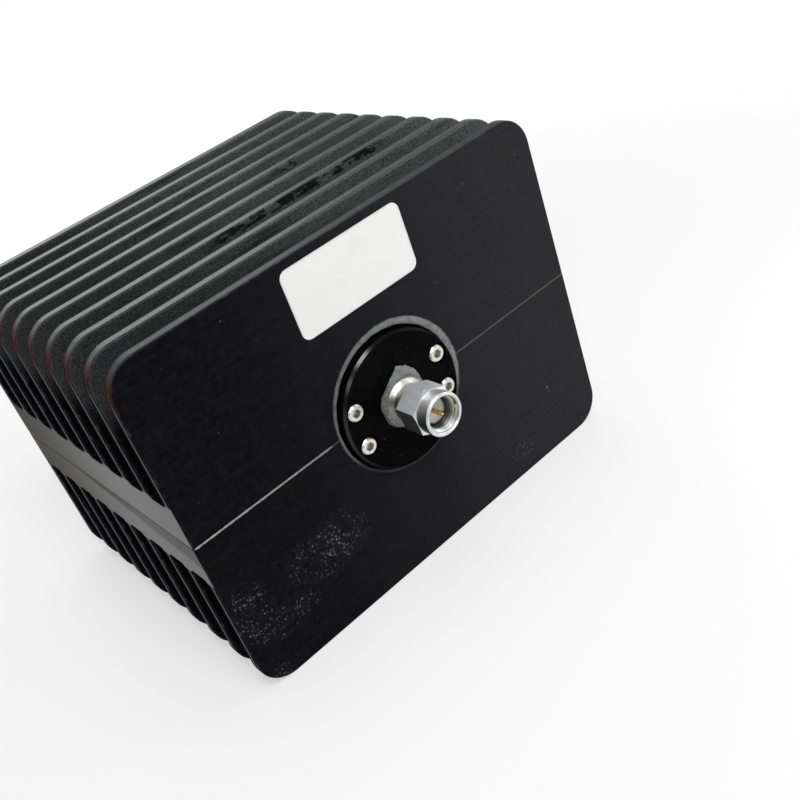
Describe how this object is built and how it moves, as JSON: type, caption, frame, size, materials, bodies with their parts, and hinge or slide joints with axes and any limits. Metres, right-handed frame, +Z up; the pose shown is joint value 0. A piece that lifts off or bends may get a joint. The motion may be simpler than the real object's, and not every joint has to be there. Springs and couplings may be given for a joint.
{
  "type": "rf dummy load",
  "caption": "Black finned block in two clamped halves round a film resistor cartridge, with a threaded coaxial plug on its front; it turns radio power into heat.",
  "frame": {"origin": "middle of the base of the overall box, on the surface that the lower fins stand on", "axes": "+Z up, +X to the right seen from the front, the coaxial plug faces -Y"},
  "size_m": [0.0888, 0.0856, 0.067],
  "materials": {
    "black_anodised": "satin black anodised, milled",
    "black_flange": "semi-gloss black anodised, turned",
    "stainless_screws": "bright",
    "compound": "matte paste",
    "label_stock": "matte white",
    "stainless_body": "passivated, dull",
    "stainless_nut": "passivated, satin",
    "spring_bronze": "plain",
    "insulator": "waxy white",
    "gold": "gold plated",
    "ceramic_chip": "fired, unglazed",
    "copper": "machined copper",
    "black_steel": "black oxide"
  },
  "bodies": {
    "load": {"upper_heat_sink": "black_anodised", "lower_heat_sink": "black_anodised", "load_body": "black_flange", "flange_screws": "stainless_screws", "thermal_compound": "compound", "label": "label_stock", "connector_body": "stainless_body", "retaining_ring": "spring_bronze", "dielectric": "insulator", "centre_pin": "gold", "contact_tab": "gold", "resistor_chip": "ceramic_chip", "chip_carrier": "copper", "rear_plug": "stainless_body", "clamp_screws": "black_steel", "clamp_washers": "black_steel"},
    "nut": {"coupling_nut": "stainless_nut"}
  },
  "joints": [
    {"name": "nut_spin", "type": "hinge", "parent": "load", "child": "nut", "pos_m": [0, -0.0391, 0.0335], "axis": [0, -1, 0], "continuous": true}
  ]
}
